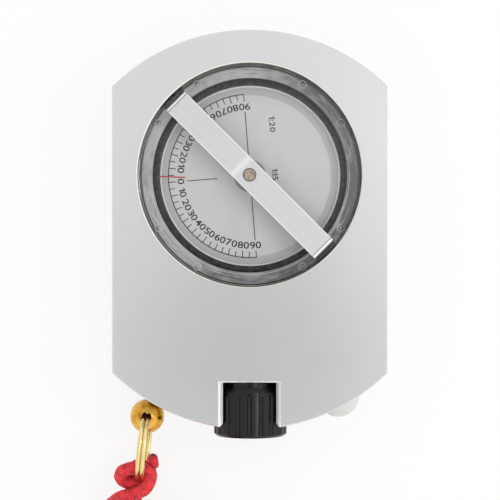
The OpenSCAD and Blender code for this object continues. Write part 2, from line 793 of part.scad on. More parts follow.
// A band round all the turns, on the coil's far side.
module coil_tie() color("#B01C30") {
    tie_angle = 300;
    inner = coil_radius(turn_total / 2) - cord_d / 2 - soft_gap;
    outer = coil_radius(0) + cord_d / 2 + soft_gap;
    high = 2 * cord_d + turn_gap + 2 * soft_gap;
    translate([coil_mid.x, coil_mid.y, 0]) rotate([0, 0, tie_angle]) difference() {
        translate([inner - tie_t, -tie_w / 2, 0])
            cube([outer - inner + 2 * tie_t, tie_w, high + 2 * tie_t]);
        translate([inner, -tie_w / 2 - over, tie_t]) cube([outer - inner, tie_w + 2 * over, high]);
    }
}

housing();
capsule_pad();
capsule_case();
capsule_seal();
capsule_cover();
filler_plug();
hairline_plate();
rear_jewel_seat();
rear_jewel();
front_jewel();
bearing_post();
retaining_bar();
dial_face();
dial_drum();
dial_hub();
balance_weight();
pivot_pin();
focus_sleeve();
eyepiece_barrel();
field_stop();
eyepiece_lens();
lens_retainer();
friction_ring();
lanyard_eye();
lanyard_ring();
end_plug();
lanyard_hitch();
lanyard_cord();
lanyard_coil();
coil_tie();
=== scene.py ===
import math

import bmesh
import bpy
import numpy as np
from mathutils import Matrix, Vector


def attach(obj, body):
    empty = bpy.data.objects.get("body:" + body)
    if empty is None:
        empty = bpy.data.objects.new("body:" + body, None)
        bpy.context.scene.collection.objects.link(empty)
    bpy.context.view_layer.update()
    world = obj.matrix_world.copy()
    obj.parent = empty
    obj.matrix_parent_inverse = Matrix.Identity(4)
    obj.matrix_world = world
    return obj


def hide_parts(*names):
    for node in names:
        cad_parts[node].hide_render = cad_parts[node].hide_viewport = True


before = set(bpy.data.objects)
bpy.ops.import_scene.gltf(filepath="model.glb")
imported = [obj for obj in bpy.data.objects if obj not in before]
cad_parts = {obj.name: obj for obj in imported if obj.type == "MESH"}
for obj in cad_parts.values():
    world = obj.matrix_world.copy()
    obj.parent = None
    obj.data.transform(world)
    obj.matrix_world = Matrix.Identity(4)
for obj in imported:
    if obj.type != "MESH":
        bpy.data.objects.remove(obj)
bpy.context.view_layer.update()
mm = 0.001
farAway = 10000.0  # mm, past everything here
scene = bpy.context.scene
scene.view_settings.view_transform = "Standard"
print("frame loaded:", len(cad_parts), "nodes")


# Small helpers for nodes and materials.

def toLinear(code):  # an sRGB hex colour, as linear RGBA
    parts = [int(code[i:i + 2], 16) / 255 for i in (1, 3, 5)]
    return [c / 12.92 if c <= 0.04045 else ((c + 0.055) / 1.055) ** 2.4 for c in parts] + [1.0]


def addNode(tree, kind, settings=None, links=None):  # one node, its values and what feeds it
    node = tree.nodes.new("ShaderNode" + kind)
    for key, value in (settings or {}).items():
        if isinstance(value, str) and value.startswith("#"):
            value = toLinear(value)
        if isinstance(key, str) and hasattr(node, key):
            setattr(node, key, value)
        else:
            node.inputs[key].default_value = value
    for key, source in (links or {}).items():
        tree.links.new(source, node.inputs[key])
    return node


def newMaterial(name, **values):  # a Principled surface with plain values on its own sockets
    material = bpy.data.materials.new(name)
    material.use_nodes = True
    tree = material.node_tree
    tree.nodes.clear()
    shader = addNode(tree, "BsdfPrincipled", {k.replace("_", " "): v for k, v in values.items()})
    addNode(tree, "OutputMaterial", links={"Surface": shader.outputs[0]})
    place = addNode(tree, "TexCoord").outputs["Object"]
    return material, tree, shader, place


def patternScale(size):  # the scale that makes a noise's lumps this many mm across
    return 1 / (size * mm)


def mottle(tree, place, size, tones, detail=3.0, spread=(0.0, 1.0)):
    # a colour that wanders between two tones in lumps of size mm, and the pattern that leads it
    pattern = addNode(tree, "TexNoise", {"Scale": patternScale(size), "Detail": detail},
                      {"Vector": place}).outputs[0]
    share = addNode(tree, "MapRange", {1: spread[0], 2: spread[1]}, {0: pattern}).outputs[0]
    colour = addNode(tree, "Mix", {"data_type": "RGBA", 6: tones[0], 7: tones[1]}, {0: share}).outputs[2]
    return colour, pattern


def between(tree, value, low, high, soft):  # 1 from low to high, 0 outside, with soft edges, all in mm
    rise = addNode(tree, "MapRange", {1: (low - soft) * mm, 2: (low + soft) * mm}, {0: value}).outputs[0]
    fall = addNode(tree, "MapRange", {1: (high - soft) * mm, 2: (high + soft) * mm, 3: 1.0, 4: 0.0},
                   {0: value}).outputs[0]
    return addNode(tree, "Math", {"operation": "MULTIPLY"}, {0: rise, 1: fall}).outputs[0]


def layOver(tree, ground, *layers):  # colours over a ground, each where its mask is 1
    for mask, colour in layers:
        ground = addNode(tree, "Mix", {"data_type": "RGBA", 7: colour}, {0: mask, 6: ground}).outputs[2]
    return ground


def radiusFrom(tree, place, middle=None):  # distance from the dial's axis, or from an upright line
    if middle:
        place = addNode(tree, "VectorMath", {"operation": "SUBTRACT", 1: middle}, {0: place}).outputs[0]
    flat = addNode(tree, "VectorMath", {"operation": "MULTIPLY", 1: (1, 1, 0)}, {0: place}).outputs[0]
    return addNode(tree, "VectorMath", {"operation": "LENGTH"}, {0: flat}).outputs["Value"]


def turnAbout(tree, place):  # angle about the dial's axis, in radians
    x, y = addNode(tree, "SeparateXYZ", links={0: place}).outputs[:2]
    return addNode(tree, "Math", {"operation": "ARCTAN2"}, {0: y, 1: x}).outputs[0]


def finishSurface(tree, shader, colour, rough=None, relief=None):
    # joins a finish to its shader: rough is a pattern with its least and most roughness, relief is a
    # pattern with its depth in mm and its strength
    tree.links.new(colour, shader.inputs["Base Color"])
    if rough:
        level = addNode(tree, "MapRange", {1: 0.3, 2: 0.7, 3: rough[1], 4: rough[2]}, {0: rough[0]})
        tree.links.new(level.outputs[0], shader.inputs["Roughness"])
    if relief:
        bump = addNode(tree, "Bump", {"Distance": relief[1] * mm, "Strength": relief[2]},
                       {"Height": relief[0]})
        tree.links.new(bump.outputs[0], shader.inputs["Normal"])


def passLight(tree, shader, tint):  # shadow and bounced light go straight through a clear piece
    out = shader.outputs[0].links[0].to_node
    film = addNode(tree, "BsdfTransparent", {"Color": tint})
    rays = addNode(tree, "LightPath").outputs
    through = addNode(tree, "Math", {"operation": "MAXIMUM"},
                      {0: rays["Is Shadow Ray"], 1: rays["Is Diffuse Ray"]})
    mix = addNode(tree, "MixShader", links={0: through.outputs[0], 1: shader.outputs[0], 2: film.outputs[0]})
    tree.links.new(mix.outputs[0], out.inputs["Surface"])


# Small helpers for pieces.

def dress(material, *names):  # gives CAD nodes their material
    for name in names:
        piece = bpy.data.objects[name]
        piece.data.materials.clear()
        piece.data.materials.append(material)


def newPiece(name, bm, material, body, replaced=(), smooth=True):
    mesh = bpy.data.meshes.new(name)
    bmesh.ops.recalc_face_normals(bm, faces=bm.faces)
    bm.to_mesh(mesh)
    bm.free()
    for face in mesh.polygons:
        face.use_smooth = smooth
    piece = bpy.data.objects.new(name, mesh)
    scene.collection.objects.link(piece)
    mesh.materials.append(material)
    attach(piece, body)
    if replaced:
        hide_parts(*replaced)
    return piece


def joinRings(bm, rings, closed=False):  # faces from each ring of points to the next
    for one, two in zip(rings, rings[1:] + rings[:1] if closed else rings[1:]):
        for k in range(len(one)):
            n = (k + 1) % len(one)
            bm.faces.new((one[k], two[k], two[n], one[n]))


def turnedRing(profile, steps=180):  # a ring about the dial's axis, from its (radius, height) in mm
    bm = bmesh.new()
    rings = []
    for k in range(steps):
        a = 2 * math.pi * k / steps
        rings.append([bm.verts.new((r * math.cos(a) * mm, r * math.sin(a) * mm, z * mm)) for r, z in profile])
    joinRings(bm, rings, closed=True)
    return bm


# Camera, where the photograph was taken from.

cameraSet = {
    "place": (6.8, -15.1, 315.5),  # mm, about 300 mm above the dial side
    "aim": (0.1, -14.2, 15.5),
    "lens": 114.6, "sensor": 36.0,
    "nearest": 0.01, "farthest": 10,  # metres that it sees
}


def makeCamera(s):
    data = bpy.data.cameras.new("photoCamera")
    data.lens, data.sensor_width = s["lens"], s["sensor"]
    data.clip_start, data.clip_end = s["nearest"], s["farthest"]
    camera = bpy.data.objects.new("photoCamera", data)
    scene.collection.objects.link(camera)
    place, aim = Vector(s["place"]) * mm, Vector(s["aim"]) * mm
    back = (place - aim).normalized()
    right = Vector((0, 1, 0)).cross(back).normalized()
    turn = Matrix((right, back.cross(right), back)).transposed().to_4x4()
    camera.matrix_world = Matrix.Translation(place) @ turn
    scene.camera = camera


makeCamera(cameraSet)


# The lanyard: its route in mm, the same points as in the part's source.

cordSet = {
    "diameter": 2.4,
    "yarns": 12,  # yarns that run each way round the braid
    "relief": 0.17,  # mm, from a yarn's top down to the gap beside it
    "meanHeight": 0.65,  # the share of that relief where the skin has the cord's diameter
    "fuzz": 0.03,  # mm, how unevenly the fibres lie
    "lumps": 0.05, "lumpsAlong": 1.9, "lumpsRound": 0.8,  # mm and radians per mm: slow swellings
    "knotSides": 48, "knotSteps": 4, "freeSides": 24, "freeSteps": 2,  # points round, and for each yarn
    "ringLow": (-21.2215, -58.3444, 7.75),  # lowest wire of the brass ring
    "coilMid": (-14, -92), "coilTurns": 11, "coilRadius": 22.5,
    "turnGap": 0.5,  # mm between the turns
    "angleIn": 152, "angleOut": 82,  # degrees round the coil, where the strands join it
    "lowest": 2.0,  # height of the lower layer's middle line
    "ringsPerTurn": 24,
    "stubAt": (2.45, 2.3, -0.35), "stubLength": 1.75, "stubRadius": 1.0,  # the cord's sealed end
    "stubTurn": (-62, 3),  # degrees about X, then about Z
}
knotRoute = [
    (-6.8, -6.2, -3.4), (-5.87, -5.31, -2.7), (-5.03, -4.52, -1.79), (-4.15, -3.85, -0.83),
    (-3.01, -3.43, -0.02), (-1.69, -3.14, 0.55), (-0.35, -2.72, 0.98), (0.86, -1.96, 1.24),
    (1.68, -0.76, 1.25), (1.77, 0.66, 1.14), (0.87, 1.74, 1.02), (-0.54, 2.05, 1), (-2, 1.98, 0.95),
    (-3.32, 1.5, 0.59), (-3.97, 0.51, -0.19), (-3.58, -0.59, -1.02), (-2.34, -1.23, -1.4),
    (-0.95, -1.58, -1.67), (0.48, -1.56, -1.89), (1.59, -0.71, -1.84), (1.8, 0.66, -1.68),
    (1.05, 1.82, -1.66), (-0.24, 2.25, -1.95), (-1.46, 1.85, -2.6), (-2.31, 0.94, -3.36),
    (-2.43, -0.38, -3.94), (-2.26, -1.82, -4.18), (-1.99, -3.26, -4.24), (-1.6, -4.66, -4.16),
    (-0.9, -5.9, -3.8),
]
strandIn = [(-30.4, -68.8, 2.2), (-30.9, -71.8, 2.0), (-31.2, -74.6, 2.0)]
strandOut = [(-19.1, -67.5, 4.2), (-17.5, -68.3, 4.6)]


def smoothRoute(route, steps):  # a rounded course through the points
    points, last = [], len(route) - 1
    for i in range(last):
        b, c = route[i], route[i + 1]
        a = route[i - 1] if i else 2 * b - c
        d = route[i + 2] if i + 2 <= last else 2 * c - b
        for s in range(steps):
            t = s / steps
            points.append(0.5 * (2 * b + (c - a) * t + (2 * a - 5 * b + 4 * c - d) * t * t
                                 + (3 * b - a - 3 * c + d) * t ** 3))
    return points + [route[last]]


def unit(v):
    return v / np.linalg.norm(v)


def coilPoints(s):  # spirals in, climbs one cord at the middle, spirals out again
    turns = s["coilTurns"] - (s["angleIn"] - s["angleOut"]) / 360
    pitch = s["diameter"] + s["turnGap"]
    count = round(turns * s["ringsPerTurn"])
    points = []
    for i in range(count + 1):
        away = turns * i / count - turns / 2  # in turns, from the innermost point
        radius = s["coilRadius"] - pitch * (turns / 2 - math.sqrt(away * away + 0.01))  # rounded there
        t = min(1, max(0, away * 2 + 0.5))  # climbs within half a turn
        angle = math.radians(s["angleIn"] + 360 * turns * i / count)
        points.append(np.array([
            s["coilMid"][0] + radius * math.cos(angle), s["coilMid"][1] + radius * math.sin(angle),
            s["lowest"] + pitch * t * t * (3 - 2 * t)]))
    return points


def cordRoutes(s):  # the knot's line, and the free cord's from strand to coil to strand
    d = s["diameter"]
    knot = smoothRoute([np.array(p) + np.array(s["ringLow"]) for p in knotRoute], 3)
    coil = coilPoints(s)
    back, on = unit(coil[0] - coil[1]), unit(coil[-1] - coil[-2])
    coil = [coil[0] + d * back] + coil + [coil[-1] + d * on]

    def strand(knotEnd, knotOut, route, coilEnd, coilOut):
        middle = [knotEnd + d * knotOut] + [np.array(p) for p in route] + [coilEnd + d * coilOut]
        return [knotEnd] + smoothRoute(middle, 3) + [coilEnd]

    first = strand(knot[0], unit(knot[0] - knot[1]), strandIn, coil[0], back)
    last = strand(knot[-1], unit(knot[-1] - knot[-2]), strandOut, coil[-1], on)
    return knot, first + coil[1:-1] + last[::-1]


def resample(points, step):  # even steps along a line of points, through a rounded course
    points = np.array(smoothRoute([np.array(p) for p in points], 6))
    along = np.concatenate([[0], np.cumsum(np.linalg.norm(np.diff(points, axis=0), axis=1))])
    count = max(2, round(along[-1] / step))
    wanted = np.linspace(0, along[-1], count + 1)
    return np.stack([np.interp(wanted, along, points[:, k]) for k in range(3)], axis=1), wanted


def yarnHeight(across, along, way):  # round across its width, and 0.35 as high where it dives under
    middle = np.round(across)
    over = 0.5 + way * 0.5 * np.cos(np.pi * (along - middle))
    return np.cos(np.pi * (across - middle)) ** 0.7 * (0.35 + 0.65 * over)


def braidHeight(u, v):  # 1 on top of a yarn, 0 between yarns; each yarn goes over one and under one
    return np.maximum(yarnHeight(u, v, 1), yarnHeight(v, u, -1))


def stubRoute(s):  # the short end that stands out of the knot
    aboutX, aboutZ = (math.radians(angle) for angle in s["stubTurn"])
    turn = Matrix.Rotation(aboutZ, 3, "Z") @ Matrix.Rotation(aboutX, 3, "X")
    way = np.array(turn @ Vector((0, 0, 1)))
    start = np.array(s["ringLow"]) + np.array(s["stubAt"])
    return [start + way * t * (s["stubLength"] + s["stubRadius"] * 0.99) for t in np.linspace(0, 1, 8)]


def braidedTube(route, s, sides, steps, bm=None, radius=None, dome=0.0):
    # a tube whose skin is a real braid; with a dome, its far end closes to a melted cap
    spacing = math.pi * s["diameter"] / s["yarns"]
    middle = radius or s["diameter"] / 2
    line, along = resample(route, spacing / steps)
    tangent = np.gradient(line, axis=0)
    tangent /= np.linalg.norm(tangent, axis=1)[:, None]
    side = np.cross(tangent[0], [0, 0, 1.0])
    side /= np.linalg.norm(side)
    angles = 2 * np.pi * np.arange(sides) / sides
    if bm is None:
        bm = bmesh.new()
        bm.verts.layers.float.new("yarn")
        bm.verts.layers.float.new("melted")
    yarn, melted = bm.verts.layers.float["yarn"], bm.verts.layers.float["melted"]
    rings, rough = [], np.random.default_rng(5)
    for i in range(len(line)):
        left = along[-1] - along[i]
        share = 1.0 if left >= dome else math.sqrt(max(0.03, 1 - (1 - left / dome) ** 2))
        side = side - tangent[i] * np.dot(side, tangent[i])  # carried along without twisting
        side /= np.linalg.norm(side)
        up = np.cross(side, tangent[i])
        turn = angles / (2 * np.pi) * s["yarns"]
        height = braidHeight(turn + i / steps, turn - i / steps)
        loose = rough.normal(0.0, s["fuzz"], sides)
        swell = s["lumps"] * math.sin(s["lumpsAlong"] * along[i]) * np.sin(
            2 * angles + s["lumpsRound"] * along[i])
        out = (middle + s["relief"] * (height - s["meanHeight"]) + loose + swell) * share
        ring = []
        for k in range(sides):
            at = line[i] + out[k] * (math.cos(angles[k]) * side + math.sin(angles[k]) * up)
            vert = bm.verts.new(at * mm)
            vert[yarn] = float(height[k])
            vert[melted] = 0.0 if left >= dome else 1 - left / dome
            ring.append(vert)
        rings.append(ring)
    joinRings(bm, rings)
    bm.faces.new(rings[0])
    bm.faces.new(rings[-1][::-1])
    return bm


nylonSet = {
    "gap": "#84060F", "yarn": "#FF3642", "sheen": "#FFA8A4", "burnt": "#4A1512",
    "heights": (0.2, 0.95),  # of the braid, where the painted shade of the gaps ends and the yarn's colour is full
    "patch": 1.111, "patchGain": 2.0, "patchShift": -0.95,  # mm, and how strongly the dye varies
    "scorched": (0.42, 0.56),  # of the same pattern, where the melted end is burnt
    "fibre": 0.1923, "relief": (0.2, 0.8),  # mm, several real fibres wide, so that they show
}


def braidedNylon(s):
    # dyed polyamide yarns, braided: soft sheen, painted shade in the gaps between the yarns, a scorched
    # melted end
    material, tree, shader, place = newMaterial(
        "braidedNylonRed", Roughness=0.62, Sheen_Weight=0.5, Sheen_Roughness=0.4, Sheen_Tint=s["sheen"])
    yarn = addNode(tree, "Attribute", {"attribute_name": "yarn"}).outputs["Fac"]
    melted = addNode(tree, "Attribute", {"attribute_name": "melted"}).outputs["Fac"]
    patches = addNode(tree, "TexNoise", {"Scale": patternScale(s["patch"]), "Detail": 3.0},
                      {"Vector": place}).outputs[0]
    # painted shade: the yarn darkens towards the gaps between yarns, together with the dye's patches
    lit = addNode(tree, "MapRange", {1: s["heights"][0], 2: s["heights"][1]}, {0: yarn}).outputs[0]
    shade = addNode(tree, "Math", {"operation": "MULTIPLY_ADD", 1: s["patchGain"], 2: s["patchShift"]},
                    {0: patches}).outputs[0]
    level = addNode(tree, "Math", {"operation": "ADD", "use_clamp": True}, {0: lit, 1: shade}).outputs[0]
    red = addNode(tree, "Mix", {"data_type": "RGBA", 6: s["gap"], 7: s["yarn"]}, {0: level}).outputs[2]
    spots = addNode(tree, "MapRange", {1: s["scorched"][0], 2: s["scorched"][1]}, {0: patches}).outputs[0]
    scorch = addNode(tree, "Math", {"operation": "MULTIPLY", "use_clamp": True}, {0: melted, 1: spots})
    fibre = addNode(tree, "TexNoise", {"Scale": patternScale(s["fibre"]), "Detail": 4.0}, {"Vector": place})
    finishSurface(tree, shader, layOver(tree, red, (scorch.outputs[0], s["burnt"])),
                  relief=(fibre.outputs[0], *s["relief"]))
    return material


cordRed = braidedNylon(nylonSet)
knotLine, freeLine = cordRoutes(cordSet)
knotMesh = braidedTube(knotLine, cordSet, cordSet["knotSides"], cordSet["knotSteps"])
braidedTube(stubRoute(cordSet), cordSet, cordSet["knotSides"], cordSet["knotSteps"], knotMesh,
            cordSet["stubRadius"], cordSet["stubRadius"])
knot = newPiece("lanyardKnot", knotMesh, cordRed, "lanyard", ["lanyard_hitch"])
freeMesh = braidedTube(freeLine, cordSet, cordSet["freeSides"], cordSet["freeSteps"])
cord = newPiece("lanyardBraid", freeMesh, cordRed, "lanyard", ["lanyard_cord", "lanyard_coil"])

tieSet = {
    "angle": 300,  # degrees round the coil, on its far side
    "width": 3.0, "thickness": 0.5,
    "corner": 0.9, "cornerSteps": 7,  # outer radius where the band turns, and its points
    "innerEdge": 6.2, "outerEdge": 24.0,  # mm from the coil's middle
    "top": 6.9,
    "section": [(-0.5, 0.12), (-0.47, 0.0), (0.47, 0.0), (0.5, 0.12), (0.5, 0.88), (0.47, 1.0),
                (-0.47, 1.0), (-0.5, 0.88)],  # across its width and down into it, its edges eased
    "dark": "#7A0F1E", "light": "#A81C30",
    "rib": 0.314, "unevenness": 0.6, "relief": (0.1, 1.0),  # mm from rib to rib
}


def makeTie(s):  # a woven band round all the turns
    bm = bmesh.new()
    low, high, r = s["innerEdge"], s["outerEdge"], s["corner"]
    top = s["top"] - r
    corners = [(low + r, r, 180), (high - r, r, 270), (high - r, top, 0), (low + r, top, 90)]
    turn = Matrix.Translation(Vector((*cordSet["coilMid"], 0)) * mm) @ Matrix.Rotation(
        math.radians(s["angle"]), 4, "Z")
    rings = []
    for x, z, start in corners:
        for k in range(s["cornerSteps"]):
            a = math.radians(start + 90 * k / (s["cornerSteps"] - 1))
            ring = []
            for across, deep in s["section"]:
                out = r - deep * s["thickness"]
                point = Vector((x + math.cos(a) * out, across * s["width"], z + math.sin(a) * out))
                ring.append(bm.verts.new(turn @ (point * mm)))
            rings.append(ring)
    joinRings(bm, rings, closed=True)
    return bm


def wovenTape(s):
    # plain-woven polyester tape: dull, with fine ribs across its width
    material, tree, shader, place = newMaterial("wovenTapeRed", Roughness=0.75, Sheen_Weight=0.4)
    turned = addNode(tree, "VectorRotate", {"rotation_type": "Z_AXIS", "Angle": -math.radians(s["angle"])},
                     {"Vector": place})
    ribScale = math.pi / 10 * patternScale(s["rib"])  # at scale 1 the bands are a tenth of pi apart
    bands = {"bands_direction": "Y", "Scale": ribScale, "Distortion": s["unevenness"]}
    ribs = addNode(tree, "TexWave", bands, {"Vector": turned.outputs[0]}).outputs["Fac"]
    colour = addNode(tree, "Mix", {"data_type": "RGBA", 6: s["dark"], 7: s["light"]}, {0: ribs}).outputs[2]
    finishSurface(tree, shader, colour, relief=(ribs, *s["relief"]))
    return material


tie = newPiece("coilTieBand", makeTie(tieSet), wovenTape(tieSet), "lanyard", ["coil_tie"])


# Light, floor and background.

stageSet = {
    "topLevel": 0.965, "horizonLevel": 1.08,  # light from straight above, and from level with the floor
    "lean": (0.14, 0.0, 0.0),  # brighter towards the right
    "patches": [  # of the sky: the way to each, its reach, how much lighter it is
        ((-0.025, -0.05, 0), 0.16, -1.1),  # the gap between the screens, where the camera looks through
        ((-0.02, 0.17, 0), 0.16, -0.16),  # the gap's upper end
        ((0.11, 0.04, 0), 0.16, 0.6),  # the nearer screen on the right
        ((-0.14, 0.0, 0), 0.15, 0.35),  # the nearer screen on the left
        ((0.38, -0.1, 0), 0.1, 5.0),  # a small lamp that gives gloss its highlight
    ],
    "lampPlace": (0.31, 0.03, 0.34), "lampSize": 0.11, "lampPower": 0.2,
    "floorSize": 1.5, "floorGap": 0.0001,  # metres, and how far it lies below the object's back
    "floorTone": "#F3F3F3",
    "shadowKept": 0.2,  # how much of the shadow the camera sees on the white floor
    "underBall": (-20.6, -47.1), "ballReach": 1.8, "ballSoft": 0.4,  # mm, where it sees all of it
}


def makeSky(s):
    world = bpy.data.worlds.new("softStudio")
    scene.world = world
    world.use_nodes = True
    tree = world.node_tree
    tree.nodes.clear()
    way = addNode(tree, "TexCoord").outputs["Generated"]
    total = addNode(tree, "MapRange", {3: s["topLevel"], 4: s["horizonLevel"]},
                    {0: radiusFrom(tree, way)}).outputs[0]
    parts = [addNode(tree, "VectorMath", {"operation": "DOT_PRODUCT", 1: s["lean"]},
                     {0: way}).outputs["Value"]]
    for middle, reach, gain in s["patches"]:
        fade = {"interpolation_type": "SMOOTHSTEP", 2: reach, 3: gain, 4: 0.0}
        parts.append(addNode(tree, "MapRange", fade, {0: radiusFrom(tree, way, middle)}).outputs[0])
    for part in parts:
        total = addNode(tree, "Math", {"operation": "ADD"}, {0: total, 1: part}).outputs[0]
    light = addNode(tree, "Background", {"Color": "#FFFFFF"}, {"Strength": total})
    plain = addNode(tree, "Background", {"Color": "#FFFFFF", "Strength": 1.0})
    seen = addNode(tree, "LightPath").outputs["Is Camera Ray"]
    mix = addNode(tree, "MixShader", links={0: seen, 1: light.outputs[0], 2: plain.outputs[0]})
    addNode(tree, "OutputWorld", links={"Surface": mix.outputs[0]})


def makeLamp(s):
    lamp = bpy.data.lights.new("softBox", "AREA")
    lamp.size, lamp.energy = s["lampSize"], s["lampPower"]
    holder = bpy.data.objects.new("softBox", lamp)
    scene.collection.objects.link(holder)
    holder.location = s["lampPlace"]
    holder.rotation_euler = (-Vector(s["lampPlace"])).to_track_quat("-Z", "Y").to_euler()


def makeFloor(s):
    # white paper that keeps a little of the shadow; metal and glass see it white as the camera does
    bm = bmesh.new()
    bmesh.ops.create_grid(bm, x_segments=8, y_segments=8, size=s["floorSize"])
    for vert in bm.verts:
        vert.co.z = -s["floorGap"]
    mesh = bpy.data.meshes.new("paleFloor")
    bm.to_mesh(mesh)
    bm.free()
    floor = bpy.data.objects.new("paleFloor", mesh)
    scene.collection.objects.link(floor)
    material = bpy.data.materials.new("paleFloor")
    material.use_nodes = True
    tree = material.node_tree
    tree.nodes.clear()
    paper = addNode(tree, "BsdfDiffuse", {"Color": s["floorTone"]})
    glow = addNode(tree, "Emission", {"Color": "#FFFFFF", "Strength": 1.0})
    rays = addNode(tree, "LightPath").outputs
    seen = rays["Is Camera Ray"]
    for other in ("Is Glossy Ray", "Is Transmission Ray"):
        seen = addNode(tree, "Math", {"operation": "MAXIMUM"}, {0: seen, 1: rays[other]}).outputs[0]
    share = addNode(tree, "Math", {"operation": "MULTIPLY", 1: 1 - s["shadowKept"]}, {0: seen}).outputs[0]
    place = addNode(tree, "TexCoord").outputs["Object"]
    away = radiusFrom(tree, place, [v * mm for v in (*s["underBall"], 0)])
    clear = between(tree, away, s["ballReach"], farAway, s["ballSoft"])
    share = addNode(tree, "Math", {"operation": "MULTIPLY"}, {0: share, 1: clear}).outputs[0]
    mix = addNode(tree, "MixShader", links={0: share, 1: paper.outputs[0], 2: glow.outputs[0]})
    addNode(tree, "OutputMaterial", links={"Surface": mix.outputs[0]})
    mesh.materials.append(material)


makeSky(stageSet)
makeLamp(stageSet)
makeFloor(stageSet)
print("camera, light and floor made")


# The block and its bar.

blockSet = {
    "tones": ("#DBDBDC", "#E1E1E2"), "roughness": (0.22, 0.26),
    "boreWallShade": (20.9, 21.17, "#3B3633"),  # mm from the dial's axis: the bore's wall, darkened as painted shade
    "edge": (21.19, 21.40, "#F2EDE2"),  # its front edge, lightened as a painted highlight
    "notchSide": (5.5, 5.92), "notchEnd": (-39.2, -38.93), "bevel": "#FFFFFF",  # mm: the notch's bevels, white as a painted highlight
    "boreSoft": 0.03, "notchSoft": 0.04,  # mm, how softly these begin and end
    "cloud": 11.1,  # mm
    "grain": 0.15, "relief": (0.002, 0.05),  # mm, coarser than the real pores, so that it shows at all
}
shadedHubSet = {**blockSet, "tones": ("#94928D", "#A6A49F"), "roughness": (0.33, 0.37)}  # duller, as turned; its darker tones are painted shade from the bar over it


def satinAluminium(name, s):
    # bead-blasted, then anodised: an even satin grey with a very fine grain. The bore's front edge and
    # the notch's bevels are thin bright lines of painted highlight, and the bore's wall is painted shade
    material, tree, shader, place = newMaterial(name, Metallic=1.0)
    skin, _ = mottle(tree, place, s["cloud"], s["tones"])
    radius = radiusFrom(tree, place)
    # painted highlight on the bore's front edge, painted shade on its wall
    for first, last, colour in (s["edge"], s["boreWallShade"]):
        skin = layOver(tree, skin, (between(tree, radius, first, last, s["boreSoft"]), colour))
    x, y = addNode(tree, "SeparateXYZ", links={0: place}).outputs[:2]
    across = addNode(tree, "Math", {"operation": "ABSOLUTE"}, {0: x}).outputs[0]
    side = between(tree, across, *s["notchSide"], s["notchSoft"])
    below = between(tree, y, -farAway, s["notchEnd"][1], s["notchSoft"])
    end = between(tree, y, *s["notchEnd"], s["notchSoft"])
    inner = between(tree, across, -farAway, s["notchSide"][0], s["notchSoft"])
    # painted highlight on the notch's bevels
    for one, two in ((side, below), (end, inner)):
        both = addNode(tree, "Math", {"operation": "MULTIPLY"}, {0: one, 1: two}).outputs[0]
        skin = layOver(tree, skin, (both, s["bevel"]))
    grain = addNode(tree, "TexNoise", {"Scale": patternScale(s["grain"]), "Detail": 2.0},
                    {"Vector": place}).outputs[0]
    finishSurface(tree, shader, skin, (grain, *s["roughness"]), (grain, *s["relief"]))
    return material


barSet = {
    "tones": ("#CFCFD1", "#D8D8DA"), "turn": 45,  # degrees between the bar and the block
    "lines": 2.5, "stretch": 14,  # mm along a brushed line, and how many times narrower it is
    "creaseHighlight": (-2.8, -1.9, 0.5, "#EAEAEB"),  # mm along the bar: lighter beside the pin, a painted highlight of a slight bend there
    "tipHighlight": (19.36, farAway, 0.06, "#F2F2F3"),  # the bent-down ends, lighter as a painted highlight
    "foldShade": (19.22, 19.36, 0.04, "#5A5A5C"),  # the bend's line, darker as painted shade
    "barEdgeHighlight": (2.3, farAway, 0.08, "#EFEFF0"),  # mm across the bar: its rounded long edges, lighter as a painted highlight
    "roughness": (0.36, 0.44), "relief": (0.01, 0.3),
}


def sheetAluminium(s):
    # rolled sheet, lightly brushed along its length: a smooth, bright satin, with painted highlights on its
    # bends and edges and painted shade on the bend's line
    material, tree, shader, place = newMaterial("brushedSheetAluminium", Metallic=1.0)
    turn = math.radians(s["turn"])
    turned = addNode(tree, "Mapping", {"Rotation": (0, 0, turn), "Scale": (1, s["stretch"], 1)},
                     {"Vector": place}).outputs[0]
    sheet, lines = mottle(tree, turned, s["lines"], s["tones"])
    bar = addNode(tree, "VectorRotate", {"rotation_type": "Z_AXIS", "Angle": turn},
                  {"Vector": place}).outputs[0]
    signed = addNode(tree, "SeparateXYZ", links={0: bar}).outputs[0]
    size = addNode(tree, "VectorMath", {"operation": "ABSOLUTE"}, {0: bar}).outputs[0]
    along, across = addNode(tree, "SeparateXYZ", links={0: size}).outputs[:2]
    # painted highlights and painted shade along and across the bar
    for way, band in ((signed, "creaseHighlight"), (along, "tipHighlight"), (across, "barEdgeHighlight"), (along, "foldShade")):
        first, last, soft, colour = s[band]
        sheet = layOver(tree, sheet, (between(tree, way, first, last, soft), colour))
    finishSurface(tree, shader, sheet, (lines, *s["roughness"]), (lines, *s["relief"]))
    return material


dress(satinAluminium("anodisedAluminium", blockSet), "housing")
dress(sheetAluminium(barSet), "retaining_bar")
# the hub's darker tones are painted shade from the bar over it
dress(satinAluminium("turnedAluminium", shadedHubSet), "dial_hub")


# The capsule.

capsuleSet = {
    "dimpleRing": 19.955, "dimpleOffset": 15,  # mm from the axis, degrees to each side of the corners
    "dimpleReach": 0.8, "dimpleFloor": 0.48, "relief": (0.18, 1.0),  # mm, from rim to floor
    "tones": ("#F4F3F1", "#FCFBFA"), "wave": 3.85,  # mm
    "clearness": 0.03, "frost": 0.2,  # roughness
    "film": "#FBFBFA",
}


